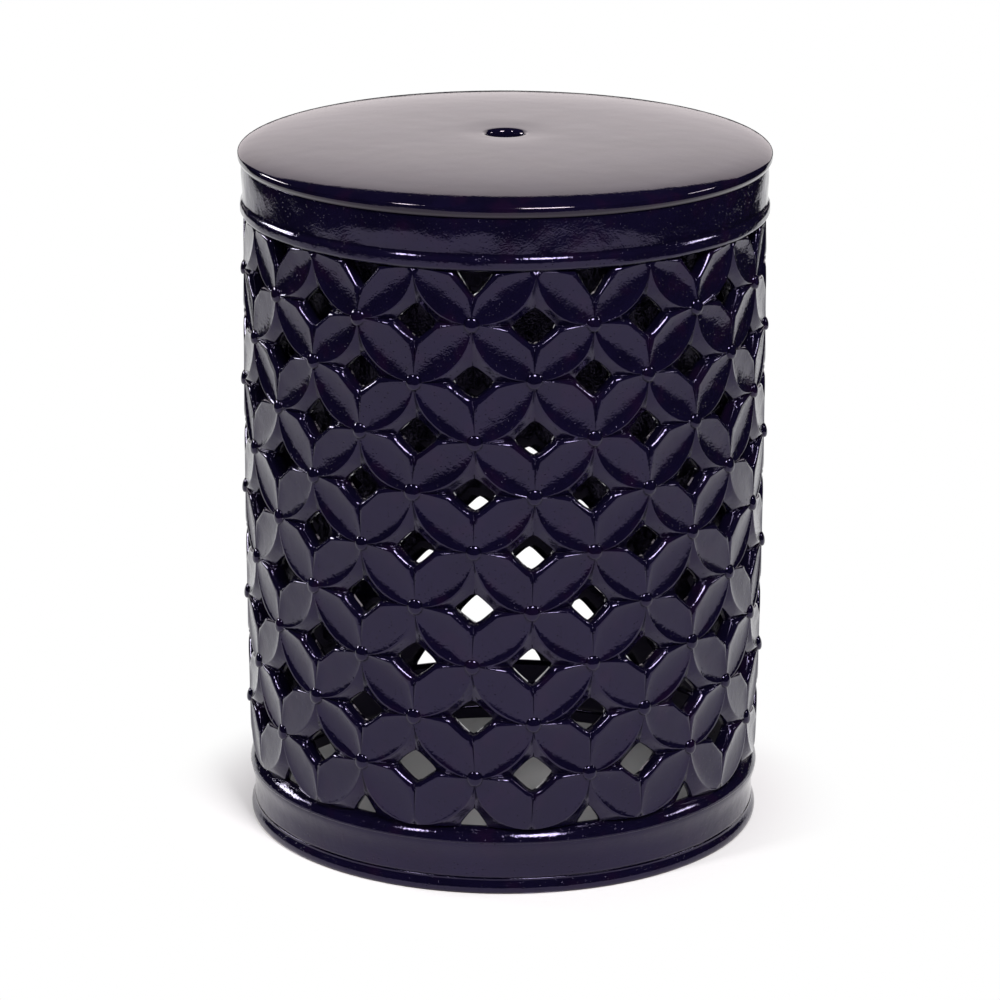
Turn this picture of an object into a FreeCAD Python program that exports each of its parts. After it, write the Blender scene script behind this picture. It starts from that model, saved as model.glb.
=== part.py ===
import FreeCAD
import Part

import math
import os

# A glazed ceramic garden stool: a hollow drum, pierced all round in the traditional pattern of
# interlocking coins, between a plain base and a rolled collar that carries the round seat.
# Millimetres, +Z up. The origin is the middle of the foot, on the floor.

# The drum: its outer radius at both ends of the lattice, from which every ring is set out,
# and the clay wall that they share
DRUM_RADIUS = 168.8
WALL = 9.5

# Foot, a rolled ring under the base, drawn in at its sole
FOOT_HEIGHT = 10.0
FOOT_ROLL_PROUD = 3.0
FOOT_ROLL_HEIGHT = 4.0
FOOT_SOLE_INSET = 1.2

# Base, the plain band under the lattice, with a softened ledge at its top
BASE_HEIGHT = 33.5
BASE_PROUD = 1.4
LEDGE_DROP = 4.5
LEDGE_STEP = 2.0

# Lattice: how far its middle swells past its ends, its coins and its rows of beads
LATTICE_SWELL = 1.6
COINS_AROUND = 14
ROWS = 10
ROW_PITCH = 36.5
TOP_ROW_PITCH = 34.0

# Each petal between two openings: straight strokes along one edge, and depth of its hollow
STROKES = 4
PETAL_HOLLOW = 2.6

# The openings taper inwards to these half sizes on the inner face of the wall
OPENING_HALF_WIDTH = 14.0
OPENING_HALF_HEIGHT = 12.5
TOP_NOTCH_HALF_WIDTH = 12.0
TOP_NOTCH_DEPTH = 17.3
BASE_NOTCH_HALF_WIDTH = 9.0
BASE_NOTCH_DEPTH = 14.2

# Beads, one where four petals meet, each on a small flat pad
BEAD_RADIUS = 5.2
BEAD_CROWN_RADIUS = 2.6
BEAD_HEIGHT = 3.0
BEAD_SIDES = 5
PAD_MARGIN = 0.8

# Collar, a plain band with a rolled lower edge
COLLAR_HEIGHT = 34.0
COLLAR_PROUD = 1.6
ROLL_PROUD = 3.2
ROLL_HEIGHT = 12.0
ROLL_SOFTENING = 3.2
ROLL_FOOT_STEP = 2.4

# Seat, a crowned slab with a rounded rim and a finger hole in its middle
SEAT_RIM_PROUD = 3.4
SEAT_RIM_LOWER = 4.0
SEAT_RIM_UPPER = 9.4
SEAT_EDGE_INSET = 1.8
SEAT_EDGE_HEIGHT = 13.7
SEAT_CROWN = 3.3
SEAT_SLOPE_WIDTH = 49.0
SEAT_THICKNESS = 12.0
HOLE_RADIUS = 12.0
HOLE_LIP = 2.5

# Heights at which the rings meet, from the floor up
base_z = FOOT_HEIGHT
lattice_z = base_z + BASE_HEIGHT
lattice_height = TOP_ROW_PITCH + (ROWS - 1) * ROW_PITCH
collar_z = lattice_z + lattice_height
seat_z = collar_z + COLLAR_HEIGHT

# Outer radii of the plain rings
foot_radius = DRUM_RADIUS + FOOT_ROLL_PROUD
base_radius = DRUM_RADIUS + BASE_PROUD
collar_radius = DRUM_RADIUS + COLLAR_PROUD
roll_radius = DRUM_RADIUS + ROLL_PROUD
rim_radius = DRUM_RADIUS + SEAT_RIM_PROUD
edge_radius = DRUM_RADIUS - SEAT_EDGE_INSET

inner_radius = DRUM_RADIUS - WALL
column_angle = math.pi / COINS_AROUND
pad_half = BEAD_RADIUS + PAD_MARGIN


def ring(profile):
    """A closed outline of (radius, height) points turned about the stool's axis."""
    corners = [FreeCAD.Vector(radius, 0, height) for radius, height in profile]
    face = Part.Face(Part.makePolygon(corners + corners[:1]))
    return face.revolve(FreeCAD.Vector(0, 0, 0), FreeCAD.Vector(0, 0, 1), 360)


def solid_of(outlines):
    """A solid closed by flat faces, each given by its corners in order."""
    faces = [Part.Face(Part.makePolygon(list(corners) + [corners[0]])) for corners in outlines]
    skin = Part.makeCompound(faces)
    skin.sewShape()
    return Part.Solid(skin.Shells[0])


def foot_ring():
    """Rolled outwards above the sole, which is drawn in where it meets the floor."""
    return ring([
        (inner_radius, 0),
        (DRUM_RADIUS - FOOT_SOLE_INSET, 0),
        (foot_radius, FOOT_ROLL_HEIGHT),
        (base_radius, FOOT_HEIGHT),
        (inner_radius, FOOT_HEIGHT),
    ])


def base_band():
    """Its top edge is softened down to the foot of the lattice."""
    return ring([
        (inner_radius, base_z),
        (base_radius, base_z),
        (base_radius, lattice_z - LEDGE_DROP),
        (base_radius - LEDGE_STEP, lattice_z),
        (inner_radius, lattice_z),
    ])


def collar():
    """The roll at its foot stands proud of the lattice below and of the band above."""
    roll_top = collar_z + ROLL_HEIGHT
    return ring([
        (inner_radius, collar_z),
        (roll_radius - ROLL_FOOT_STEP, collar_z),
        (roll_radius, collar_z + ROLL_SOFTENING),
        (roll_radius, roll_top - ROLL_SOFTENING),
        (collar_radius, roll_top),
        (collar_radius, seat_z),
        (inner_radius, seat_z),
    ])


def seat_slab():
    """Its rim sits on the collar. Inside the collar its underside is hollowed to an even wall."""
    crown_z = seat_z + SEAT_EDGE_HEIGHT + SEAT_CROWN
    under_z = crown_z - SEAT_THICKNESS
    return ring([
        (inner_radius, seat_z),
        (DRUM_RADIUS, seat_z),
        (rim_radius, seat_z + SEAT_RIM_LOWER),
        (rim_radius, seat_z + SEAT_RIM_UPPER),
        (edge_radius, seat_z + SEAT_EDGE_HEIGHT),
        (edge_radius - SEAT_SLOPE_WIDTH, crown_z),
        (HOLE_RADIUS + HOLE_LIP, crown_z),
        (HOLE_RADIUS, crown_z - HOLE_LIP),
        (HOLE_RADIUS, under_z),
        (inner_radius, under_z),
    ])


def row_z(row):
    """Height of a row of beads. Row 0 is the collar's edge, and the last row is the base's."""
    if row == 0:
        return collar_z
    if row == ROWS:
        return lattice_z
    return collar_z - TOP_ROW_PITCH - (row - 1) * ROW_PITCH


def drum_radius(z):
    """Outer radius of the drum, largest at mid height."""
    half = lattice_height / 2
    offset = (z - lattice_z - half) / half
    return DRUM_RADIUS + LATTICE_SWELL * (1 - offset ** 2)


def polar(radius, column, z):
    """A point so many half coins round the drum from the front, which is -Y."""
    angle = column * column_angle - math.pi / 2
    return FreeCAD.Vector(radius * math.cos(angle), radius * math.sin(angle), z)


def on_face(column, z):
    """A point on the outer face."""
    return polar(drum_radius(z), column, z)


def on_back(column, z):
    """A point on the inner face."""
    return polar(inner_radius, column, z)


def pad_radius(z):
    """Distance from the axis to the flat pad under a bead."""
    return drum_radius(z) * math.cos(pad_half / drum_radius(z))


def pad_tip(column, row, across, up):
    """One of the four corners of a pad, where the groove between two petals dies out."""
    z = row_z(row)
    if across:
        return polar(drum_radius(z), column + across * pad_half / drum_radius(z) / column_angle, z)
    return polar(pad_radius(z), column, z + up * pad_half)


def opening_tip(column, row, across, up):
    """One of the four corners of an opening on the inner face."""
    half_width = {0: TOP_NOTCH_HALF_WIDTH, ROWS: BASE_NOTCH_HALF_WIDTH}.get(row, OPENING_HALF_WIDTH)
    half_height = {0: TOP_NOTCH_DEPTH, ROWS: BASE_NOTCH_DEPTH}.get(row, OPENING_HALF_HEIGHT)
    turn = across * half_width / inner_radius / column_angle
    return on_back(column + turn, row_z(row) + up * half_height)


def petal_edge(column, row, side, lower):
    """One edge of the petal from a bead down to the next row: a quarter of a coin, in strokes.

    The lower edge leaves the upper bead straight down, and the upper edge leaves it sideways.
    """
    top, bottom = row_z(row), row_z(row + 1)
    first = pad_tip(column, row, 0, -1) if lower else pad_tip(column, row, side, 0)
    last = pad_tip(column + side, row + 1, -side, 0) if lower else pad_tip(column + side, row + 1, 0, 1)
    points = [first]
    for stroke in range(1, STROKES):
        turn = stroke / STROKES * math.pi / 2
        near, far = 1 - math.cos(turn), math.sin(turn)
        across, down = (near, far) if lower else (far, near)
        points.append(on_face(column + side * across, top + down * (bottom - top)))
    return points + [last]


def petal(column, row, side):
    """Triangles of one petal: its hollow, its two tapering flanks and its back."""
    lower = petal_edge(column, row, side, True)
    upper = petal_edge(column, row, side, False)
    middle_z = (row_z(row) + row_z(row + 1)) / 2
    middle = polar(drum_radius(middle_z) - PETAL_HOLLOW, column + side / 2, middle_z)
    rim = lower + upper[::-1]
    faces = [(middle, a, b) for a, b in zip(rim, rim[1:] + rim[:1])]

    below = (opening_tip(column, row + 1, 0, 1), opening_tip(column, row + 1, side, 0))
    beside = (opening_tip(column + side, row, -side, 0), opening_tip(column + side, row, 0, -1))
    for edge, (start, end) in ((lower, below), (upper, beside)):
        half = len(edge) // 2
        faces += [(start, a, b) for a, b in zip(edge[:half], edge[1:half + 1])]
        faces += [(start, edge[half], end)]
        faces += [(end, a, b) for a, b in zip(edge[half:], edge[half + 1:])]
    faces += [(below[0], beside[0], beside[1]), (below[0], beside[1], below[1])]
    return faces


def knot(column, row):
    """Triangles where four petals meet: the pad under a bead, and the wall behind it."""
    left, right = pad_tip(column, row, -1, 0), pad_tip(column, row, 1, 0)
    back_left = opening_tip(column - 1, row, 1, 0)
    back_right = opening_tip(column + 1, row, -1, 0)
    faces = []
    if row == 0 or row == ROWS:
        way = 1 if row else -1
        tip, back_tip = pad_tip(column, row, 0, way), opening_tip(column, row - way, 0, -way)
        back = on_back(column, row_z(row))
        rim = [back, back_left, left, right, back_right]
        faces += [(left, right, tip)]
        faces += [(back, back_left, back_tip), (back, back_tip, back_right)]
        faces += [(back, a, b) for a, b in zip(rim[1:], rim[2:])]
        return faces
    over, under = pad_tip(column, row, 0, 1), pad_tip(column, row, 0, -1)
    back_over, back_under = opening_tip(column, row - 1, 0, -1), opening_tip(column, row + 1, 0, 1)
    faces += [(left, over, under), (right, over, under)]
    faces += [(back_left, back_over, back_under), (back_right, back_over, back_under)]
    return faces


def bead_columns(row):
    """Columns that carry a bead in a row. Rows are staggered, with a bead in front in row 1."""
    return range(1 - row % 2, 2 * COINS_AROUND, 2)


def lattice_drum():
    """The pierced wall in one piece."""
    triangles = []
    for row in range(ROWS + 1):
        for column in bead_columns(row):
            triangles += knot(column, row)
            if row < ROWS:
                triangles += petal(column, row, -1) + petal(column, row, 1)
    return solid_of(triangles)


def bead(z):
    """One bead in front of a stool that faces +X: a faceted button whose back lies on its pad."""

    def outline(radius, stand):
        corners = []
        for side in range(BEAD_SIDES):
            angle = side / BEAD_SIDES * 2 * math.pi
            across, up = radius * math.sin(angle), radius * math.cos(angle)
            corners.append(FreeCAD.Vector(pad_radius(z) + stand, across, z + up))
        return corners

    back, crown = outline(BEAD_RADIUS, 0), outline(BEAD_CROWN_RADIUS, BEAD_HEIGHT)
    flanks = [(back[side - 1], back[side], crown[side], crown[side - 1]) for side in range(BEAD_SIDES)]
    return solid_of([back, crown] + flanks)


def bead_row(row):
    """The beads of one row, as separate pieces."""
    blank = bead(row_z(row))
    beads = []
    for column in bead_columns(row):
        turn = math.degrees(column * column_angle) - 90
        beads.append(blank.rotated(FreeCAD.Vector(0, 0, 0), FreeCAD.Vector(0, 0, 1), turn))
    return Part.makeCompound(beads)


nodes = {
    "foot_ring": foot_ring(),
    "base_band": base_band(),
    "lattice_drum": lattice_drum(),
    "collar": collar(),
    "seat_slab": seat_slab(),
}
for row in range(1, ROWS):
    nodes["bead_row_" + str(row)] = bead_row(row)

os.makedirs("parts", exist_ok=True)
for name, shape in nodes.items():
    shape.exportStep("parts/" + name + ".step")
    volume = round(shape.Volume / 1000, 1)
    print(name, "solids", len(shape.Solids), "volume", volume, "cm3, valid", shape.isValid())
print("height", seat_z + SEAT_EDGE_HEIGHT + SEAT_CROWN, "mm")
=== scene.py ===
"""A hand-made ceramic garden stool in a navy glaze, on a white studio sheet.

The drum is pierced with interlocking coins: petals between four openings, a bead where four petals
meet. Every piece is one closed surface worked out with numpy from the sizes of the frame. Metres.
"""

import logging
import math
from dataclasses import dataclass, field
from enum import Enum

import bpy
import numpy as np
from mathutils import Matrix, Vector


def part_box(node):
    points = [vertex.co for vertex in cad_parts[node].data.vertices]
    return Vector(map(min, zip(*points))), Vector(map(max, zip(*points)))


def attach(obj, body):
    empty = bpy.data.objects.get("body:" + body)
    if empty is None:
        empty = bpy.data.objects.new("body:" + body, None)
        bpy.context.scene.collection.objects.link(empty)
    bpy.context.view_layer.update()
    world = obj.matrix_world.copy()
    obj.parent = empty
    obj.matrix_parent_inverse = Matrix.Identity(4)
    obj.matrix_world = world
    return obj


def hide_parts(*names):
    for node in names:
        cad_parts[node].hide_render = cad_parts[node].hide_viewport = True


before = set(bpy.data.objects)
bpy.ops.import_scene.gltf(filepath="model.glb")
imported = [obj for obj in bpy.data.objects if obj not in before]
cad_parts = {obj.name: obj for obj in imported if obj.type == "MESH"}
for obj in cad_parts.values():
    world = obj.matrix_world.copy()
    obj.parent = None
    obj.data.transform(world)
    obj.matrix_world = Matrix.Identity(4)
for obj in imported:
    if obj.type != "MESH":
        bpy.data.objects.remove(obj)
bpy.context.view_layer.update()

MM = 0.001
BODY = "root"
COINS_AROUND = 14
COLUMNS = 2 * COINS_AROUND
SEED = 71

log = logging.getLogger("garden_stool")


class Finish(Enum):
    """The surfaces of the stool that take the glaze differently."""

    SEAT = "seat_glaze"
    BAND = "band_glaze"
    LATTICE = "lattice_glaze"
    BEAD = "bead_glaze"


@dataclass(frozen=True)
class Glaze:
    """How the navy glaze lies on one kind of surface. Colours are linear, lengths in millimetres."""

    body: tuple[float, float, float] = (0.0034, 0.0024, 0.0120)
    pooled: tuple[float, float, float] = (0.0017, 0.0013, 0.0058)
    clay: tuple[float, float, float] = (0.46, 0.36, 0.28)
    tint: tuple[float, float, float] = (0.70, 0.60, 1.0)
    roughness: float = 0.045
    ior: float = 1.485
    grain_size: float = 1.4
    grain_height: float = 0.08
    swell_size: float = 6.0
    swell_height: float = 0.13
    speck_size: float = 2.0
    speck_depth: float = 0.11


GLAZES = {
    Finish.SEAT: Glaze(
        tint=(0.92, 0.78, 0.90), grain_height=0.03, swell_size=22.0, swell_height=0.16, speck_depth=0.02
    ),
    Finish.BAND: Glaze(swell_size=9.0, swell_height=0.20),
    Finish.LATTICE: Glaze(),
    Finish.BEAD: Glaze(grain_height=0.02, swell_height=0.03, speck_depth=0.02),
}


class GlazeGroup:
    """The shader node group that every glaze material shares."""

    NAME = "HandGlaze"
    INPUTS = (
        ("Body", "NodeSocketColor"),
        ("Pooled", "NodeSocketColor"),
        ("Clay", "NodeSocketColor"),
        ("Roughness", "NodeSocketFloat"),
        ("Grain Scale", "NodeSocketFloat"),
        ("Grain Height", "NodeSocketFloat"),
        ("Swell Scale", "NodeSocketFloat"),
        ("Swell Height", "NodeSocketFloat"),
        ("Speck Scale", "NodeSocketFloat"),
        ("Speck Depth", "NodeSocketFloat"),
        ("Pool", "NodeSocketFloat"),
        ("Bare", "NodeSocketFloat"),
    )
    OUTPUTS = (
        ("Color", "NodeSocketColor"),
        ("Roughness", "NodeSocketFloat"),
        ("Height", "NodeSocketFloat"),
    )
    CLOUD_SCALE = 34.0
    RUST_SCALE = 55.0
    DULL_SCALE = 60.0
    CLAY_SCALE = 260.0
    RAGGED_SCALE = 420.0
    GRIT_SCALE = 1900.0
    RUST_COLOUR = (0.0075, 0.0024, 0.0120)
    PIT_COLOUR = (0.0012, 0.0010, 0.0035)
    DARK_CLAY = (0.24, 0.17, 0.12)

    def __init__(self) -> None:
        """Makes the empty group with its named sockets, then its nodes."""
        self.tree = bpy.data.node_groups.new(self.NAME, "ShaderNodeTree")
        for name, kind in self.INPUTS:
            self.tree.interface.new_socket(name, in_out="INPUT", socket_type=kind)
        for name, kind in self.OUTPUTS:
            self.tree.interface.new_socket(name, in_out="OUTPUT", socket_type=kind)
        self.given = self.tree.nodes.new("NodeGroupInput").outputs
        self.result = self.tree.nodes.new("NodeGroupOutput").inputs
        self.place = self.tree.nodes.new("ShaderNodeTexCoord").outputs["Object"]
        self._build()

    def _link(self, source: bpy.types.NodeSocket, target: bpy.types.NodeSocket) -> None:
        """Joins two sockets."""
        self.tree.links.new(source, target)

    def _noise(self, scale: bpy.types.NodeSocket | float, detail: float) -> bpy.types.NodeSocket:
        """A cloudy pattern over the object.

        Args:
            scale: Waves per metre, as a number or a socket.
            detail: Octaves added on top.

        Returns:
            The pattern, about 0.5 on average.
        """
        node = self.tree.nodes.new("ShaderNodeTexNoise")
        node.inputs["Detail"].default_value = detail
        self._link(self.place, node.inputs["Vector"])
        if isinstance(scale, float):
            node.inputs["Scale"].default_value = scale
        else:
            self._link(scale, node.inputs["Scale"])
        return node.outputs["Fac"]

    def _math(self, operation: str, *values: bpy.types.NodeSocket | float) -> bpy.types.NodeSocket:
        """One arithmetic step.

        Args:
            operation: The Math node's operation.
            values: Its inputs, as numbers or sockets.

        Returns:
            The result's socket.
        """
        node = self.tree.nodes.new("ShaderNodeMath")
        node.operation = operation
        for value, socket in zip(values, node.inputs):
            if isinstance(value, float):
                socket.default_value = value
            else:
                self._link(value, socket)
        return node.outputs[0]

    def _ramp(self, value: bpy.types.NodeSocket, low: float, high: float) -> bpy.types.NodeSocket:
        """A smooth step.

        Args:
            value: The socket that is stepped.
            low: Where the step starts, at 0.
            high: Where it ends, at 1.

        Returns:
            The step's socket.
        """
        node = self.tree.nodes.new("ShaderNodeMapRange")
        node.interpolation_type = "SMOOTHSTEP"
        node.inputs["From Min"].default_value = low
        node.inputs["From Max"].default_value = high
        self._link(value, node.inputs["Value"])
        return node.outputs["Result"]

    def _mix(
        self,
        share: bpy.types.NodeSocket,
        first: bpy.types.NodeSocket | tuple,
        second: bpy.types.NodeSocket | tuple,
    ) -> bpy.types.NodeSocket:
        """A mix of two colours.

        Args:
            share: How much of the second colour shows.
            first: Colour at 0.
            second: Colour at 1.

        Returns:
            The mixed colour's socket.
        """
        node = self.tree.nodes.new("ShaderNodeMix")
        node.data_type = "RGBA"
        self._link(share, node.inputs["Factor"])
        for value, socket in ((first, node.inputs[6]), (second, node.inputs[7])):
            if isinstance(value, tuple):
                socket.default_value = (*value, 1.0)
            else:
                self._link(value, socket)
        return node.outputs[2]

    def _specks(self, scale: bpy.types.NodeSocket) -> bpy.types.NodeSocket:
        """Small round pits, one in some of the cells of a scattered pattern.

        Args:
            scale: Cells per metre.

        Returns:
            1 in the middle of a pit and 0 outside.
        """
        node = self.tree.nodes.new("ShaderNodeTexVoronoi")
        self._link(self.place, node.inputs["Vector"])
        self._link(scale, node.inputs["Scale"])
        parts = self.tree.nodes.new("ShaderNodeSeparateColor")
        self._link(node.outputs["Color"], parts.inputs[0])
        size = self._math("MULTIPLY_ADD", self._ramp(parts.outputs[0], 0.2, 1.0), 0.32, 0.0001)
        inside = self._math("DIVIDE", node.outputs["Distance"], size)
        return self._math("SUBTRACT", 1.0, self._ramp(inside, 0.35, 1.0))

    def _build(self) -> None:
        """Colour clouds and pools, fine specks, an orange-peel skin, and clay where the glaze ends."""
        given = self.given
        cloud = self._ramp(self._noise(self.CLOUD_SCALE, 3.0), 0.34, 0.72)
        pooled = self._math("MAXIMUM", given["Pool"], self._math("MULTIPLY", cloud, 0.55))
        colour = self._mix(pooled, given["Body"], given["Pooled"])

        speck = self._specks(given["Speck Scale"])
        rust = self._math("MULTIPLY", self._ramp(self._noise(self.RUST_SCALE, 4.0), 0.5, 0.72), 0.6)
        colour = self._mix(rust, colour, self.RUST_COLOUR)
        colour = self._mix(speck, colour, self.PIT_COLOUR)

        ragged = self._math("MULTIPLY_ADD", self._noise(self.RAGGED_SCALE, 3.0), 0.7, -0.35)
        bare = self._ramp(self._math("ADD", given["Bare"], ragged), 0.45, 0.62)
        clay = self._mix(self._noise(self.CLAY_SCALE, 4.0), given["Clay"], self.DARK_CLAY)
        self._link(self._mix(bare, colour, clay), self.result["Color"])

        dull = self._math("MULTIPLY", self._ramp(self._noise(self.DULL_SCALE, 4.0), 0.4, 0.8), 0.03)
        glossy = self._math("ADD", given["Roughness"], dull)
        chalky = self._math("MULTIPLY", bare, 0.85)
        self._link(self._math("MAXIMUM", glossy, chalky), self.result["Roughness"])

        grain = self._math("MULTIPLY", self._noise(given["Grain Scale"], 2.0), given["Grain Height"])
        swell = self._math("MULTIPLY", self._noise(given["Swell Scale"], 1.0), given["Swell Height"])
        pit = self._math("MULTIPLY", speck, self._math("MULTIPLY", given["Speck Depth"], -1.0))
        grit = self._math("MULTIPLY", self._math("MULTIPLY", bare, self._noise(self.GRIT_SCALE, 3.0)), 0.12)
        height = self._math("ADD", self._math("ADD", grain, swell), self._math("ADD", pit, grit))
        self._link(height, self.result["Height"])


class Dresser:
    """Makes the glaze materials and puts them on pieces."""

    def __init__(self) -> None:
        """Builds the shared group and one material for each finish."""
        group = GlazeGroup()
        self.materials = {kind: self._material(kind, glaze, group) for kind, glaze in GLAZES.items()}

    @staticmethod
    def _attribute(tree: bpy.types.NodeTree, name: str) -> bpy.types.NodeSocket:
        """The socket of a value that the piece's own points carry.

        Args:
            tree: The material's nodes.
            name: The value's name.

        Returns:
            The value's socket.
        """
        node = tree.nodes.new("ShaderNodeAttribute")
        node.attribute_name = name
        return node.outputs["Fac"]

    def _material(self, kind: Finish, glaze: Glaze, group: GlazeGroup) -> bpy.types.Material:
        """One glaze material.

        Args:
            kind: The surface that it is for.
            glaze: Its colours and sizes.
            group: The shared node group.

        Returns:
            The new material.
        """
        material = bpy.data.materials.new(kind.value)
        material.use_nodes = True
        tree = material.node_tree
        shader = tree.nodes["Principled BSDF"]
        shader.inputs["IOR"].default_value = glaze.ior
        shader.inputs["Specular Tint"].default_value = (*glaze.tint, 1.0)

        skin = tree.nodes.new("ShaderNodeGroup")
        skin.node_tree = group.tree
        for name, colour in (("Body", glaze.body), ("Pooled", glaze.pooled), ("Clay", glaze.clay)):
            skin.inputs[name].default_value = (*colour, 1.0)
        values = {
            "Roughness": glaze.roughness,
            "Grain Scale": 1 / (glaze.grain_size * MM),
            "Grain Height": glaze.grain_height,
            "Swell Scale": 1 / (glaze.swell_size * MM),
            "Swell Height": glaze.swell_height,
            "Speck Scale": 1 / (glaze.speck_size * MM),
            "Speck Depth": glaze.speck_depth,
        }
        for name, value in values.items():
            skin.inputs[name].default_value = value
        tree.links.new(self._attribute(tree, "pool"), skin.inputs["Pool"])
        tree.links.new(self._attribute(tree, "bare"), skin.inputs["Bare"])

        bump = tree.nodes.new("ShaderNodeBump")
        bump.inputs["Distance"].default_value = MM
        tree.links.new(skin.outputs["Height"], bump.inputs["Height"])
        tree.links.new(skin.outputs["Color"], shader.inputs["Base Color"])
        tree.links.new(skin.outputs["Roughness"], shader.inputs["Roughness"])
        tree.links.new(bump.outputs["Normal"], shader.inputs["Normal"])
        return material

    def dress(self, piece: bpy.types.Object, kind: Finish) -> None:
        """Gives a piece its glaze."""
        piece.data.materials.append(self.materials[kind])


@dataclass
class Surface:
    """Points, faces and per-point glaze values of one closed surface."""

    points: np.ndarray
    faces: np.ndarray
    pool: np.ndarray
    bare: np.ndarray

    def welded(self, step: float = 2e-7) -> "Surface":
        """Joins points that lie in the same place.

        Args:
            step: Size of the grid, in metres, on which two points count as one.

        Returns:
            The surface with each place held once. Its faces may repeat a corner.
        """
        keys = np.round(self.points / step).astype(np.int64)
        _, first, index = np.unique(keys, axis=0, return_index=True, return_inverse=True)
        index = index.reshape(-1)
        return Surface(self.points[first], index[self.faces], self.pool[first], self.bare[first])

    def outward(self) -> "Surface":
        """Turns the faces so that the closed surface holds a positive volume.

        Returns:
            The same surface.
        """
        a, b, c, d = (self.points[self.faces[:, k]] for k in range(4))
        volume = np.einsum("ij,ij->", a, np.cross(b, c)) + np.einsum("ij,ij->", a, np.cross(c, d))
        if volume < 0:
            self.faces = self.faces[:, ::-1]
        return self

    def face_lists(self) -> list[list[int]]:
        """The faces as four or three corners each, without faces that have shrunk to a line.

        Returns:
            The point numbers of each face.
        """
        faces = self.faces
        same = faces == np.roll(faces, -1, axis=1)
        repeats = same.sum(axis=1)
        quads = faces[repeats == 0]
        narrow, where = faces[repeats == 1], np.argmax(same[repeats == 1], axis=1)
        order = (where[:, None] + np.arange(1, 4)) % 4
        triangles = np.take_along_axis(narrow, order, axis=1)
        flat = (quads[:, 0] == quads[:, 2]) | (quads[:, 1] == quads[:, 3])
        return quads[~flat].tolist() + triangles.tolist()

    def piece(self, name: str) -> bpy.types.Object:
        """Makes the Blender object.

        Args:
            name: The piece's name.

        Returns:
            A smooth mesh object at the origin, with its glaze values as attributes.
        """
        mesh = bpy.data.meshes.new(name)
        mesh.from_pydata(self.points.tolist(), [], self.face_lists())
        for attribute, values in (("pool", self.pool), ("bare", self.bare)):
            layer = mesh.attributes.new(attribute, "FLOAT", "POINT")
            layer.data.foreach_set("value", values.astype(np.float32))
        mesh.polygons.foreach_set("use_smooth", np.ones(len(mesh.polygons), bool))
        mesh.update()
        piece = bpy.data.objects.new(name, mesh)
        bpy.context.scene.collection.objects.link(piece)
        return piece


def petal_width(turn: np.ndarray | float) -> np.ndarray | float:
    """Width of a petal at a turn along its edge, sin t + cos t - 1, as a share of the coin."""
    return np.sin(turn) + np.cos(turn) - 1


def ripple(angle: np.ndarray, height: np.ndarray, waves: int, short: float, seed: int) -> np.ndarray:
    """The unevenness that a hand leaves on a turned wall.

    A sum of cosines that close round the axis. Each has a whole number of waves round the drum,
    its own slope along the height and its own phase, and counts for less as it gets shorter.

    Args:
        angle: Angles round the axis, in radians.
        height: Heights or distances along the profile, in metres.
        waves: How many cosines are added.
        short: The shortest wavelength, in metres.
        seed: Picks the cosines.

    Returns:
        Values of about -1 to 1.
    """
    chance = np.random.default_rng(SEED + seed)
    total = np.zeros(np.broadcast(angle, height).shape)
    most = 2 * math.pi * 0.17 / short
    for _ in range(waves):
        around = round(chance.uniform(1, most))
        along = chance.uniform(-1, 1) * 2 * math.pi / short
        weight = 1 / (1 + 0.12 * around)
        total += weight * np.cos(around * angle + along * height + chance.uniform(0, 2 * math.pi))
    return total / max(1.0, np.abs(total).max())


@dataclass(frozen=True)
class Corner:
    """A corner of a turned outline: radius and height in millimetres, and how far it is rounded."""

    radius: float
    height: float
    soft: float = 0.0


def rounded(corners: list[Corner], arc_steps: int = 6, longest: float = 4.0) -> np.ndarray:
    """A closed outline with its corners rounded by parabolas and its long stretches divided.

    Near a corner the outline leaves the straight at distance soft, and follows the parabola
    (1-t)^2 start + 2 t (1-t) corner + t^2 end.

    Args:
        corners: The outline's corners in order.
        arc_steps: Steps along each rounded corner.
        longest: The longest step left on a straight stretch, in millimetres.

    Returns:
        Points (radius, height) in metres, without the first repeated.
    """
    points = np.array([(c.radius, c.height) for c in corners])
    soft = np.array([c.soft for c in corners])
    before, after = np.roll(points, 1, axis=0), np.roll(points, -1, axis=0)
    to_before = (before - points) / np.linalg.norm(before - points, axis=1, keepdims=True)
    to_after = (after - points) / np.linalg.norm(after - points, axis=1, keepdims=True)
    outline = []
    for point, reach, back, on in zip(points, soft, to_before, to_after):
        if reach == 0:
            outline.append(point[None])
            continue
        t = np.linspace(0, 1, arc_steps + 1)[:, None]
        start, end = point + reach * back, point + reach * on
        outline.append((1 - t) ** 2 * start + 2 * t * (1 - t) * point + t ** 2 * end)
    outline = np.concatenate(outline)
    ends = np.roll(outline, -1, axis=0)
    parts = np.maximum(1, np.ceil(np.linalg.norm(ends - outline, axis=1) / longest)).astype(int)
    spread = [a + (b - a) * (np.arange(n) / n)[:, None] for a, b, n in zip(outline, ends, parts)]
    return np.concatenate(spread) * MM


@dataclass(frozen=True)
class DrawnIn:
    """How far the glazed outlines stand in, in millimetres, where the hand left the clay slimmer.

    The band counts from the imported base, the roll and the rim from their own packed rings, and
    the others from the drum.
    """

    band: float = 1.4
    foot: float = 0.5
    base: float = 2.9
    ledge: float = 0.1
    lattice: float = 0.7
    wall: float = 9.5
    roll: float = 1.1
    rim: float = 0.7


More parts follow.
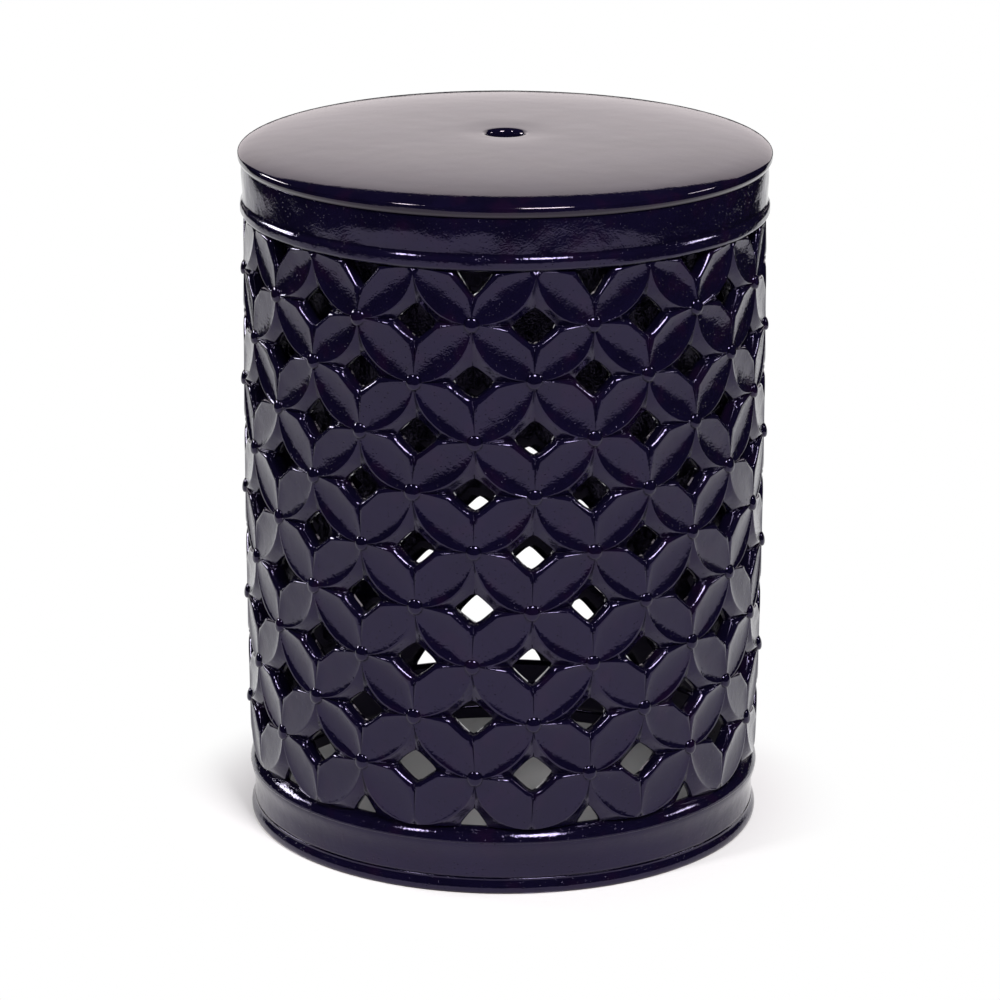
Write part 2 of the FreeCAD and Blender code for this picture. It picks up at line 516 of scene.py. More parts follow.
@dataclass(frozen=True)
class StoolFrame:
    """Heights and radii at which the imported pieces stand, in millimetres."""

    base: float
    lattice: float
    collar: float
    seat: float
    top: float
    foot_radius: float
    base_radius: float
    ledge_radius: float
    roll_radius: float
    rim_radius: float
    drum_radius: float
    inner: float

    @classmethod
    def read(cls, drawn: DrawnIn = DrawnIn()) -> "StoolFrame":
        """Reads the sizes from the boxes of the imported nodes.

        Args:
            drawn: How far the glazed outlines stand in from them.

        Returns:
            The sizes.
        """

        def lowest(node: str) -> float:
            """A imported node's lowest height."""
            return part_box(node)[0].z / MM

        def reach(node: str) -> float:
            """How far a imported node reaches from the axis."""
            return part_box(node)[1].x / MM

        drum = reach("base_band") - drawn.band
        return cls(
            base=lowest("base_band"),
            lattice=lowest("lattice_drum"),
            collar=lowest("collar"),
            seat=lowest("seat_slab"),
            top=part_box("seat_slab")[1].z / MM,
            foot_radius=drum - drawn.foot,
            base_radius=drum - drawn.base,
            ledge_radius=drum - drawn.ledge,
            roll_radius=reach("collar") - drawn.roll,
            rim_radius=reach("seat_slab") - drawn.rim,
            drum_radius=drum - drawn.lattice,
            inner=drum - drawn.wall,
        )


@dataclass(frozen=True)
class TurnedPiece:
    """A ring of clay turned about the stool's axis from one closed outline."""

    sizes: StoolFrame
    name: str = "turned_piece"
    finish: Finish = Finish.BAND
    around: int = 336
    ripple_height: float = 0.10
    ripple_waves: int = 26
    ripple_short: float = 0.045
    ripple_start: float = 2.0
    ripple_full: float = 4.0
    seed: int = 1

    def corners(self) -> list[Corner]:
        """The outline's corners, set by each piece."""
        raise NotImplementedError

    def outline(self) -> np.ndarray:
        """The closed outline, in metres."""
        return rounded(self.corners())

    def pool(self, radius: np.ndarray, height: np.ndarray) -> np.ndarray:
        """How thick the glaze has run, 0 to 1, over the outline."""
        return np.zeros_like(radius)

    def bare(self, radius: np.ndarray, height: np.ndarray) -> np.ndarray:
        """How much of the clay is bare, 0 to 1, over the outline."""
        return np.zeros_like(radius)

    def lift(self, angle: np.ndarray, radius: np.ndarray, height: np.ndarray) -> np.ndarray:
        """Extra height of each point, in metres."""
        return np.zeros_like(angle + height)

    def surface(self) -> Surface:
        """The outline carried round the axis.

        A point of the outline at radius r and height z goes to (r sin a, -r cos a, z) at each
        angle a. The outer wall moves in by the ripple, which is never more than its height and
        fades out towards the inner wall.

        Returns:
            The closed ring.
        """
        outline = self.outline()
        radius, height = outline[:, 0][:, None], outline[:, 1][:, None]
        angle = (np.arange(self.around) * 2 * math.pi / self.around)[None]
        along = np.concatenate([[0], np.cumsum(np.linalg.norm(np.diff(outline, axis=0), axis=1))])
        wave = ripple(angle, along[:, None], self.ripple_waves, self.ripple_short, self.seed)
        start = (self.sizes.inner + self.ripple_start) * MM
        outside = np.clip((radius - start) / (self.ripple_full * MM), 0, 1)
        moved = radius + outside * (wave - 1) * 0.5 * self.ripple_height * MM
        raised = height + self.lift(angle, radius, height)
        x, y = moved * np.sin(angle), -moved * np.cos(angle)
        points = np.stack([x, y, np.broadcast_to(raised, x.shape)], axis=-1).reshape(-1, 3)
        rows, columns = x.shape
        row, column = np.meshgrid(np.arange(rows), np.arange(columns), indexing="ij")
        below, beside = (row + 1) % rows, (column + 1) % columns
        around = ((row, column), (row, beside), (below, beside), (below, column))
        faces = np.stack([r * columns + c for r, c in around], axis=-1).reshape(-1, 4)
        pool = np.broadcast_to(self.pool(radius, height), x.shape).reshape(-1)
        bare = np.broadcast_to(self.bare(radius, height), x.shape).reshape(-1)
        return Surface(points, faces, pool, bare).outward()

    def build(self, dresser: Dresser) -> bpy.types.Object:
        """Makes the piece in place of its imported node.

        Args:
            dresser: Gives the glaze.

        Returns:
            The finished piece.
        """
        return settle(self.surface(), self.name + "_glazed", self.name, self.finish, dresser)


@dataclass(frozen=True)
class SeatSlab(TurnedPiece):
    """The crowned seat, with a softened rim and a finger hole."""

    name: str = "seat_slab"
    finish: Finish = Finish.SEAT
    around: int = 384
    seed: int = 2
    hole: float = 12.0
    lip: float = 3.4
    dimple: float = 0.8
    dimple_reach: float = 15.0
    rim_foot: float = 5.4
    rim_power: float = 3.6
    thickness: float = 12.0
    broad_dip: float = 0.16
    fine_dip: float = 0.018

    def corners(self) -> list[Corner]:
        """The neck and the underside of the rim.

        Returns:
            Corners from the inner wall out to the rim's foot.
        """
        s = self.sizes
        return [
            Corner(s.inner, s.seat, 0),
            Corner(s.rim_radius - 1.5, s.seat, 0),
            Corner(s.rim_radius - 1.4, s.seat + 0.5, 0.3),
            Corner(s.rim_radius, s.seat + 2.3, 1.3),
            Corner(s.rim_radius, s.seat + self.rim_foot, 0),
        ]

    def outline(self) -> np.ndarray:
        """The closed outline.

        The top and its rim are one curve: above the rim's foot it stands at the full height times
        the square root of 1 - (r / R)^n. A dimple, exp(-((r - hole) / reach)^2), is taken off
        beside the hole.

        Returns:
            Points (radius, height) in metres, without the first repeated.
        """
        s = self.sizes
        under = s.top - self.thickness
        foot = s.seat + self.rim_foot
        edge = rounded(self.corners(), longest=2.0) / MM
        neck = edge[: np.argmax(edge[:, 1]) + 1]
        to_lip = np.linspace(0.12, 1 - (self.hole + self.lip) / s.rim_radius, 40)[1:]
        share = 1 - np.concatenate([np.geomspace(2e-4, 0.12, 30), to_lip])
        r = s.rim_radius * share
        dip = self.dimple * np.exp(-(((r - self.hole) / self.dimple_reach) ** 2))
        z = foot + (s.top - foot) * np.sqrt(1 - share ** self.rim_power) - dip
        turn = np.linspace(0, math.pi / 2, 9)[1:]
        lip_r = self.hole + self.lip * (1 - np.sin(turn))
        lip_z = z[-1] - self.lip * (1 - np.cos(turn))
        shaft_z = np.linspace(lip_z[-1] - 2, under + 1, 3)
        shaft = np.stack([np.full(3, self.hole), shaft_z], axis=1)
        floor = [(x, under) for x in (self.hole + 1, 60, 110, s.inner - 4)] + [(s.inner, under - 2)]
        top, lip = np.stack([r, z], axis=1), np.stack([lip_r, lip_z], axis=1)
        return np.concatenate([neck, top, lip, shaft, np.array(floor)]) * MM

    def lift(self, angle: np.ndarray, radius: np.ndarray, height: np.ndarray) -> np.ndarray:
        """The top dips by up to 0.3 mm in broad patches.

        Args:
            angle: Angles round the axis.
            radius: The outline's radii, in metres.
            height: Its heights, in metres.

        Returns:
            How far each point is raised, in metres, never above 0.
        """
        broad = ripple(angle, radius, 12, 0.16, 8)
        fine = ripple(angle, radius, 20, 0.05, 9)
        on_top = np.clip((height - (self.sizes.top - 6) * MM) / (2 * MM), 0, 1)
        inward = np.clip(radius / (60 * MM), 0.15, 1)
        return on_top * inward * ((broad - 1) * self.broad_dip + (fine - 1) * self.fine_dip) * MM

    def pool(self, radius: np.ndarray, height: np.ndarray) -> np.ndarray:
        """Glaze gathers in the neck under the rim."""
        return np.clip(1 - (height / MM - self.sizes.seat) / 3.5, 0, 1) * 0.8


@dataclass(frozen=True)
class Collar(TurnedPiece):
    """The plain band under the seat, with a roll at its foot."""

    name: str = "collar"
    seed: int = 3
    ripple_height: float = 1.05
    ripple_waves: int = 70
    ripple_short: float = 0.022
    band_step: float = 1.7
    roll_height: float = 9.9

    def corners(self) -> list[Corner]:
        """From the inner edge of the foot, over the roll and up the band.

        Returns:
            The outline's corners.
        """
        s = self.sizes
        band = s.roll_radius - self.band_step
        return [
            Corner(s.inner, s.collar, 0),
            Corner(s.roll_radius - 2.6, s.collar, 1.0),
            Corner(s.roll_radius - 0.2, s.collar + 1.8, 1.6),
            Corner(s.roll_radius, s.collar + 7.2, 1.6),
            Corner(band, s.collar + self.roll_height, 1.5),
            Corner(band + 0.6, s.collar + 24.5, 4.5),
            Corner(band + 0.3, s.seat - 0.5, 0.4),
            Corner(band - 0.2, s.seat, 0),
            Corner(s.inner, s.seat, 0),
        ]

    def pool(self, radius: np.ndarray, height: np.ndarray) -> np.ndarray:
        """Glaze gathers above the roll and under the seat.

        Args:
            radius: The outline's radii, in metres. It is not used.
            height: Its heights, in metres.

        Returns:
            How thick it has run, 0 to 1.
        """
        s = self.sizes
        above_roll = np.exp(-(((height / MM - s.collar - self.roll_height - 1.5) / 2.5) ** 2))
        under_seat = np.clip(1 - (s.seat - height / MM) / 3, 0, 1)
        return 0.7 * np.maximum(above_roll, under_seat)


@dataclass(frozen=True)
class BaseBand(TurnedPiece):
    """The plain band under the lattice, its top edge softened into a ledge."""

    name: str = "base_band"
    seed: int = 4
    ripple_height: float = 0.24
    ripple_short: float = 0.03

    def corners(self) -> list[Corner]:
        """From the inner edge, out over the foot groove and up to the ledge.

        Returns:
            The outline's corners.
        """
        s = self.sizes
        return [
            Corner(s.inner, s.base, 0),
            Corner(s.base_radius + 0.2, s.base, 0),
            Corner(s.base_radius, s.base + 4, 2.0),
            Corner(s.base_radius, s.lattice - 20, 5.0),
            Corner(s.ledge_radius, s.lattice - 10.5, 2.0),
            Corner(s.ledge_radius, s.lattice - 7.6, 1.3),
            Corner(s.ledge_radius - 2.1, s.lattice - 4.0, 1.9),
            Corner(s.ledge_radius - 5.1, s.lattice - 1.4, 1.2),
            Corner(s.inner + 2.0, s.lattice, 0),
            Corner(s.inner, s.lattice, 0),
        ]

    def pool(self, radius: np.ndarray, height: np.ndarray) -> np.ndarray:
        """Glaze gathers on the ledge and in the foot groove.

        Args:
            radius: The outline's radii, in metres. It is not used.
            height: Its heights, in metres.

        Returns:
            How thick it has run, 0 to 1.
        """
        s = self.sizes
        ledge = np.clip(1.6 - (s.lattice - height / MM) / 3, 0, 1)
        groove = np.clip(1 - (height / MM - s.base) / 3, 0, 1)
        return 0.7 * np.maximum(ledge, groove)


@dataclass(frozen=True)
class FootRing(TurnedPiece):
    """The rolled foot, bare clay where it was wiped clean to stand in the kiln."""

    name: str = "foot_ring"
    seed: int = 5
    ripple_height: float = 0.2
    sole_inset: float = 1.2
    wiped: float = 0.4

    def corners(self) -> list[Corner]:
        """From the inner edge of the sole, round the roll and in to the groove.

        Returns:
            The outline's corners.
        """
        s = self.sizes
        return [
            Corner(s.inner + 0.8, 0, 0.8),
            Corner(s.foot_radius - self.sole_inset, 0, 0.9),
            Corner(s.foot_radius, 1.4, 1.3),
            Corner(s.foot_radius, 4.7, 1.5),
            Corner(s.base_radius + 0.2, 8.5, 0.9),
            Corner(s.base_radius + 0.2, s.base, 0),
            Corner(s.inner, s.base, 0),
            Corner(s.inner, 0.8, 0.7),
        ]

    def pool(self, radius: np.ndarray, height: np.ndarray) -> np.ndarray:
        """Glaze gathers in the groove above the roll."""
        return 0.7 * np.clip(1 - (self.sizes.base - height / MM) / 2.5, 0, 1)

    def bare(self, radius: np.ndarray, height: np.ndarray) -> np.ndarray:
        """Clay shows on the sole and just above it."""
        return np.clip(1.15 - height / MM / (2 * self.wiped), 0, 1)


@dataclass
class LatticePlan:
    """Where the beads and openings stand on the drum, with the hand's small errors.

    Places are counted in half coins round the drum and in rows down from the collar. A bead
    stands where the two counts add up to an odd number, and an opening where they are even.
    """

    sizes: StoolFrame
    rows: int = 10
    top_pitch: float = 34.0
    swell: float = 1.6
    sway: float = 0.9
    foot_tuck: tuple[float, float] = (0.9, 4.0)
    opening_width: float = 14.0
    opening_height: float = 12.5
    top_notch: tuple[float, float] = (12.4, 17.6)
    base_notch: tuple[float, float] = (9.0, 14.0)
    arc_depth: float = 5.0
    size_spread: float = 0.035
    hollow_spread: float = 0.25
    tilt_spread: float = 0.3
    pitch: float = field(init=False)
    aside: np.ndarray = field(init=False)
    aloft: np.ndarray = field(init=False)
    width: np.ndarray = field(init=False)
    height: np.ndarray = field(init=False)
    hollow: np.ndarray = field(init=False)
    tilt: np.ndarray = field(init=False)

    def __post_init__(self) -> None:
        """Draws the hand's errors once, for the lattice and the beads alike."""
        self.pitch = (self.sizes.collar - self.sizes.lattice - self.top_pitch) / (self.rows - 1)
        chance = np.random.default_rng(SEED)
        shape = (self.rows + 1, COLUMNS)
        self.aside = chance.normal(0, self.sway, shape)
        self.aloft = chance.normal(0, self.sway, shape)
        self.aloft[0] = self.aloft[-1] = 0
        self.width = 1 + chance.normal(0, self.size_spread, shape)
        self.height = 1 + chance.normal(0, self.size_spread, shape)
        self.hollow = 1 + chance.normal(0, self.hollow_spread, (self.rows, COLUMNS))
        self.tilt = chance.normal(0, self.tilt_spread, (self.rows, COLUMNS))

    def level(self, row: np.ndarray) -> np.ndarray:
        """Height of a row in millimetres, straight between whole rows. The first row is lower.

        Args:
            row: Rows down from the collar.

        Returns:
            Heights above the ground.
        """
        top = self.sizes.collar - row * self.top_pitch
        rest = self.sizes.collar - self.top_pitch - (row - 1) * self.pitch
        return np.where(row < 1, top, rest)

    def radius(self, height: np.ndarray) -> np.ndarray:
        """Outer radius in millimetres.

        The drum's radius, plus a parabola that is highest half way, less an exponential tuck at
        the foot where the lattice runs into the ledge.

        Args:
            height: Heights above the ground, in millimetres.

        Returns:
            The radii.
        """
        middle = (self.sizes.lattice + self.sizes.collar) / 2
        offset = (height - middle) / (self.sizes.collar - middle)
        depth, reach = self.foot_tuck
        tuck = depth * np.exp((self.sizes.lattice - height) / reach)
        return self.sizes.drum_radius + self.swell * (1 - offset ** 2) - tuck

    def _blend(self, table: np.ndarray, column: np.ndarray, row: np.ndarray) -> np.ndarray:
        """A table's values between its places, eased so that no crease shows at a place.

        Args:
            table: One value for each row and column.
            column: Places round the drum, in half coins.
            row: Places down the drum, in rows.

        Returns:
            The value at each place.
        """
        low_row = np.clip(np.floor(row).astype(int), 0, self.rows - 1)
        low_column = np.floor(column).astype(int)
        down, across = row - low_row, column - low_column
        down, across = down ** 2 * (3 - 2 * down), across ** 2 * (3 - 2 * across)
        left, right = low_column % COLUMNS, (low_column + 1) % COLUMNS
        upper = table[low_row, left] * (1 - across) + table[low_row, right] * across
        lower = table[low_row + 1, left] * (1 - across) + table[low_row + 1, right] * across
        return upper * (1 - down) + lower * down

    def place(self, column: np.ndarray, row: np.ndarray, depth: np.ndarray) -> np.ndarray:
        """Points on the drum.

        Args:
            column: Places round the drum, in half coins from the front.
            row: Places down the drum, in rows from the collar.
            depth: Millimetres under the outer face.

        Returns:
            Points in metres, one more axis than the places have.
        """
        height = self.level(row) + self._blend(self.aloft, column, row)
        turn = column * math.pi / COINS_AROUND
        turn = turn + self._blend(self.aside, column, row) / self.sizes.drum_radius
        radius = self.radius(height) - depth
        return np.stack([radius * np.sin(turn), -radius * np.cos(turn), height], axis=-1) * MM

    def opening(self, row: int, column: np.ndarray) -> tuple[np.ndarray, np.ndarray]:
        """Half width and half height of openings, as shares of a half coin and of a row.

        Args:
            row: The openings' row.
            column: Their columns.

        Returns:
            Half widths and half heights.
        """
        width, height = {0: self.top_notch, self.rows: self.base_notch}.get(
            row, (self.opening_width, self.opening_height)
        )
        arc = math.pi / COINS_AROUND * (self.sizes.drum_radius - self.arc_depth)
        pitch = self.top_pitch if row == 0 else self.pitch
        column = column % COLUMNS
        return width / arc * self.width[row, column], height / pitch * self.height[row, column]


@dataclass
class Lattice:
    """The pierced wall as one closed surface.

    Each half coin by one row is a cell. A petal runs across it from one bead to the other, and
    an opening lies at each of the other two corners. In the cell the upper bead is at (0, 0)
    and the lower at (1, 1). Step k runs from the first bead to the second along the petal, and
    the points across run from the opening below to the opening above.
    """

    plan: LatticePlan
    node: str = "lattice_drum"
    groove_steps: int = 4
    side_steps: int = 6
    petal_across: tuple[float, ...] = (-1, -0.92, -0.7, -0.36, 0, 0.36, 0.7, 0.92, 1)
    flank_across: tuple[float, ...] = (1, 0.9, 0.6, 0.27, 0.1)
    shoulder_across: tuple[float, ...] = (1, 0.95, 0.82, 0.55, 0.22)
    flank_turn: float = math.radians(33)
    hollow: float = 1.7
    edge_power: float = 3.6
    back_power: float = 1.9
    opening_depth: float = 4.6
    lower_depth: float = 1.9
    groove_power: float = 1.6
    corner_pull: float = 0.03
    corner_reach: float = 1.6
    fullness: float = 0.45
    along: np.ndarray = field(init=False)
    first: np.ndarray = field(init=False)
    side: np.ndarray = field(init=False)
    last: np.ndarray = field(init=False)
    turn: np.ndarray = field(init=False)

    def __post_init__(self) -> None:
        """Works out the steps along a petal and how far each has turned along its edge."""
        ends = np.arange(self.groove_steps + 1) / self.groove_steps
        middle = np.arange(1, self.side_steps) / self.side_steps
        self.along = np.concatenate([ends, 1 + middle, 2 + ends])
        self.first = np.clip(self.along, 0, 1)
        self.side = np.clip(self.along - 1, 0, 1)
        self.last = np.clip(self.along - 2, 0, 1)
        straight = math.pi / 2 - 2 * self.flank_turn
        self.turn = self.flank_turn * self.first + straight * self.side + self.flank_turn * self.last

    def _opening_edge(self, width: np.ndarray, height: np.ndarray) -> tuple[np.ndarray, np.ndarray]:
        """The cell's border beside the lower opening, for every step.

        It runs from the bead down to the opening's top corner, along the opening's straight
        side, and from its side corner to the second bead. The corners are pulled in a little.

        Args:
            width: The opening's half width, as a share of the cell.
            height: Its half height.

        Returns:
            The border's two coordinates in the cell, with the steps as the last axis.
        """
        width, height = width[:, None], height[:, None]
        from_corner, to_corner = self.side * self.side_steps, (1 - self.side) * self.side_steps
        corner = self.corner_pull * np.exp(-(from_corner ** 2) * self.corner_reach) * (self.along <= 2)
        other = self.corner_pull * np.exp(-(to_corner ** 2) * self.corner_reach) * (self.along >= 1)
        corner = np.where(self.along < 1, self.corner_pull * self.first ** 3, corner)
        other = np.where(self.along > 2, self.corner_pull * (1 - self.last) ** 3, other)
        x = width * self.side + (1 - width) * self.last - other
        y = (1 - height) * self.first + height * self.side + corner
        x = np.where(self.along <= 1, 0, x)
        y = np.where(self.along >= 2, 1, y)
        return x, y

    def _across(
        self, low: tuple[np.ndarray, np.ndarray], high: tuple[np.ndarray, np.ndarray], hollow: np.ndarray,
        tilt: np.ndarray,
    ) -> tuple[np.ndarray, np.ndarray, np.ndarray, np.ndarray]:
        """The outer face of a row of cells: places, depths and glaze thickness.

        A petal's lower edge is a quarter coin, (1 - cos t, sin t). Its upper edge is the quarter
        coin (sin t, 1 - cos t), drawn by the share fullness towards the opening above. Between
        them the petal is hollow by 1 - |u|^n, steeper at the lower edge and fading towards the
        beads. Below it a flank falls nearly straight to the opening and to the groove that runs
        out at the bead. Above it a shoulder, (1 - sqrt(1 - 0.96 w^2)) / 0.8, rolls over into the
        opening, less deep at the opening's foot.

        Args:
            low: The cell's border beside the lower opening.
            high: Its border beside the upper opening.
            hollow: Each petal's depth, as a share of the usual one.
            tilt: How far each petal leans across, in millimetres.

        Returns:
            Coordinates x and y in the cell, depth in millimetres and glaze thickness.
        """
        near, far = 1 - np.cos(self.turn), np.sin(self.turn)
        fade = petal_width(self.turn) / petal_width(math.pi / 4)
        share = np.array(self.petal_across)[None, None]
        full_x = far * (1 - self.fullness) + high[0] * self.fullness
        full_y = near * (1 - self.fullness) + high[1] * self.fullness
        x = near[None, :, None] * (1 - share) / 2 + full_x[..., None] * (1 + share) / 2
        y = far[None, :, None] * (1 - share) / 2 + full_y[..., None] * (1 + share) / 2
        power = np.where(share < 0, self.edge_power, self.back_power)
        dish = (1 - np.abs(share) ** power) * fade[None, :, None]
        depth = self.hollow * hollow[:, None, None] * dish + tilt[:, None, None] * share * dish
        shape = np.broadcast_shapes(x.shape, depth.shape)
        petal = [np.broadcast_to(v, shape) for v in (x, y, depth, 0.25 * dish)]

        drop = self.opening_depth * np.minimum(self.first, 1 - self.last) ** self.groove_power
        shallow = drop * (1 - self.side * (1 - self.lower_depth / self.opening_depth))
        flank, shoulder = np.array(self.flank_across), np.array(self.shoulder_across)
        flank_fall = 1.12 * flank - 0.12 * flank ** 4
        shoulder_fall = (1 - np.sqrt(1 - 0.96 * shoulder ** 2)) / 0.8
        sides = []
        for edge, border, w, fall, deep in (
            ((near[None], far[None]), low, flank, flank_fall, drop),
            ((full_x, full_y), high, shoulder, shoulder_fall, shallow),
        ):
            side_x = border[0][..., None] * w + edge[0][..., None] * (1 - w)
            side_y = border[1][..., None] * w + edge[1][..., None] * (1 - w)
            fallen = deep[None, :, None] * fall
            thick = 0.9 * w ** 2 * (deep / self.opening_depth)[None, :, None]
            shape = np.broadcast_shapes(side_x.shape, fallen.shape)
            sides.append([np.broadcast_to(v, shape) for v in (side_x, side_y, fallen, thick)])
        above = [v[..., ::-1] for v in sides[1]]
        return tuple(np.concatenate(parts, axis=-1) for parts in zip(sides[0], petal, above))

    def _grid_faces(self, start: int, cells: int, steps: int, width: int) -> np.ndarray:
        """Faces between neighbouring points of a block of grids, numbered from start.

        Args:
            start: The first point's number.
            cells: How many grids.
            steps: Points along each grid.
            width: Points across it.

        Returns:
            Four point numbers for each face.
        """
        index = start + np.arange(cells * steps * width).reshape(cells, steps, width)
        faces = [index[:, :-1, :-1], index[:, :-1, 1:], index[:, 1:, 1:], index[:, 1:, :-1]]
        return np.stack(faces, axis=-1).reshape(-1, 4)

    def _row(self, row: int) -> tuple[list, list, list, list]:
        """All the cells of one row.

        Args:
            row: The cells' row, from 0 under the collar.

        Returns:
            Points, faces (numbered within the row), glaze thickness and bare clay, as lists.
        """
        plan = self.plan
        left = np.arange(COLUMNS)
        straight = (left + row) % 2 == 1
        bead = np.where(straight, left, left + 1)
        way = np.where(straight, 1, -1)
        low_size = plan.opening(row + 1, bead)
        high_size = plan.opening(row, bead + way)
        if row == 0:
            low_size = (low_size[0], low_size[1] * plan.pitch / plan.top_pitch)
        low = self._opening_edge(*low_size)
        high = self._opening_edge(high_size[1], high_size[0])[::-1]
        x, y, depth, thick = self._across(low, high, plan.hollow[row], plan.tilt[row])

        def lay(x: np.ndarray, y: np.ndarray, depth: np.ndarray) -> np.ndarray:
            """Lays points of the cells on the drum.

            Args:
                x: First coordinates in the cells.
                y: Second coordinates.
                depth: Millimetres under the outer face.

            Returns:
                Points in metres.
            """
            column = bead[:, None, None] + way[:, None, None] * x
            return plan.place(column, row + y, np.broadcast_to(depth, x.shape))

        full = plan.radius(plan.level(row + y)) - plan.sizes.inner
        points, faces, pool, bare = [], [], [], []
        count = 0

        def add(block: np.ndarray, thickness: np.ndarray, clay: np.ndarray, flip: bool) -> None:
            """Adds a block of grids, one for each cell.

            Args:
                block: Their points.
                thickness: Glaze thickness at the points.
                clay: Bare clay at them.
                flip: Whether the faces look the other way.
            """
            nonlocal count
            cells, steps, width = block.shape[:3]
            found = self._grid_faces(count, cells, steps, width)
            turned = np.repeat((way > 0) ^ flip, (steps - 1) * (width - 1))
            found[turned] = found[turned][:, ::-1]
            points.append(block.reshape(-1, 3))
            faces.append(found)
            pool.append(np.broadcast_to(thickness, (cells, steps, width)).reshape(-1))
            bare.append(np.broadcast_to(clay, (cells, steps, width)).reshape(-1))
            count += cells * steps * width

        add(lay(x, y, depth), thick, np.zeros(1), False)
        third = np.linspace(0, 1, 4)
        back_x = low[0][..., None] * (1 - third) + high[0][..., None] * third
        back_y = low[1][..., None] * (1 - third) + high[1][..., None] * third
        full_back = plan.radius(plan.level(row + back_y)) - plan.sizes.inner
        rim = np.where((third == 0) | (third == 1), 0.35, 0.0)
        add(lay(back_x, back_y, full_back), np.full(1, 0.3), rim[None, None], True)

        first, last = self.groove_steps, self.groove_steps + self.side_steps
        for side, border in ((0, low), (-1, high)):
            start = 0 if row == 0 and side == -1 else first
            stop = len(self.along) - 1 if row == plan.rows - 1 and side == 0 else last
            span = slice(start, stop + 1)
            deep = depth[:, span, side]
            end = full[:, span, side]
            levels = np.stack([deep, deep + (end - deep) * 0.55, end], axis=-1)
            wall_x = np.repeat(border[0][:, span, None], 3, axis=2)
            wall_y = np.repeat(border[1][:, span, None], 3, axis=2)
            add(lay(wall_x, wall_y, levels), np.full(1, 0.5), np.array([0, 0.1, 0.35]), side == 0)
        return points, faces, pool, bare

    def surface(self) -> Surface:
        """All the rows, welded where their cells meet.

        Returns:
            The closed lattice.
        """
        points, faces, pool, bare = [], [], [], []
        count = 0
        for row in range(self.plan.rows):
            row_points, row_faces, row_pool, row_bare = self._row(row)
            faces.extend(part + count for part in row_faces)
            points.extend(row_points)
            pool.extend(row_pool)
            bare.extend(row_bare)
            count += sum(len(part) for part in row_points)
        whole = Surface(*(np.concatenate(part) for part in (points, faces, pool, bare)))
        return whole.welded().outward()

    def build(self, dresser: Dresser) -> bpy.types.Object:
        """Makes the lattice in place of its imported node."""
        return settle(self.surface(), "lattice_glazed", self.node, Finish.LATTICE, dresser)


@dataclass(frozen=True)
class BeadRow:
    """The beads of one row, each a small dome with a skirt sunk into the clay round it.

    The profile gives each ring's share of the bead's radius and its height over the drum.
    """

    plan: LatticePlan
    row: int
    around: int = 14
    profile: tuple[tuple[float, float], ...] = (
        (1.16, -1.5), (1.12, -0.8), (1.05, 0.0), (0.93, 0.7), (0.76, 1.3), (0.54, 1.75), (0.28, 2.02),
    )
    radius: float = 4.7
    crown: float = 2.1
    floor: float = -2.0
    sag: float = 1.5
    size_spread: float = 0.04

    def surface(self) -> Surface:
        """Domes set square to the drum.

        Rings of radius times share close on a point at the crown and on one at the back. The
        rings sag in proportion to their height.

        Returns:
            All the row's domes, each closed.
        """
        plan, profile = self.plan, np.array(self.profile)
        column = np.arange(1 - self.row % 2, COLUMNS, 2)
        chance = np.random.default_rng(SEED + 100 + self.row)
        size = 1 + chance.normal(0, self.size_spread, len(column))
        angle = np.arange(self.around) * 2 * math.pi / self.around
        share = np.concatenate([[0], profile[:, 0], [0]])
        stand = np.concatenate([[self.floor], profile[:, 1], [self.crown]])
        sunk = self.sag * np.clip(stand, 0, None)[:, None] / self.crown
        across = self.radius * share[:, None] * np.sin(angle)
        up = self.radius * share[:, None] * np.cos(angle) - sunk
        rows = np.full(len(column), float(self.row))
        centre = plan.place(column.astype(float), rows, np.zeros(len(column)))
        outward = centre * np.array([1, 1, 0])
        outward = outward / np.linalg.norm(outward, axis=1, keepdims=True)
        sideways = np.stack([-outward[:, 1], outward[:, 0], np.zeros(len(column))], axis=1)
        scale = size[:, None, None, None]
        points = centre[:, None, None] + MM * (
            sideways[:, None, None] * across[None, :, :, None] * scale
            + np.array([0, 0, 1.0]) * up[None, :, :, None] * scale
            + outward[:, None, None] * stand[None, :, None, None]
        )
        cells, rings, turns = points.shape[:3]
        index = np.arange(cells * rings * turns).reshape(cells, rings, turns)
        beside = np.roll(index, -1, axis=2)
        faces = np.stack([index[:, :-1], beside[:, :-1], beside[:, 1:], index[:, 1:]], axis=-1)
        thick = np.broadcast_to(np.clip(1 - stand / 1.5, 0, 1)[None, :, None], (cells, rings, turns))
        flat = points.reshape(-1, 3)
        whole = Surface(flat, faces.reshape(-1, 4), thick.reshape(-1), np.zeros(len(flat)))
        return whole.welded().outward()

    def build(self, dresser: Dresser) -> bpy.types.Object:
        """Makes the row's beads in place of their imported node."""
        node = f"bead_row_{self.row}"
        return settle(self.surface(), f"beads_{self.row}", node, Finish.BEAD, dresser)


def settle(
    surface: Surface, name: str, node: str, finish: Finish, dresser: Dresser
) -> bpy.types.Object:
    """Makes a piece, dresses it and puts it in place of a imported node.

    Args:
        surface: Its closed surface.
        name: The piece's name.
        node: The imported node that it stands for.
        finish: How the glaze lies on it.
        dresser: Gives the glaze.

    Returns:
        The finished piece.
    """
    piece = surface.piece(name)
    dresser.dress(piece, finish)
    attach(piece, BODY)
    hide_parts(node)
    counts = len(surface.points), len(surface.faces)
    log.info("%s stands for %s: %d points, %d faces", name, node, *counts)
    return piece


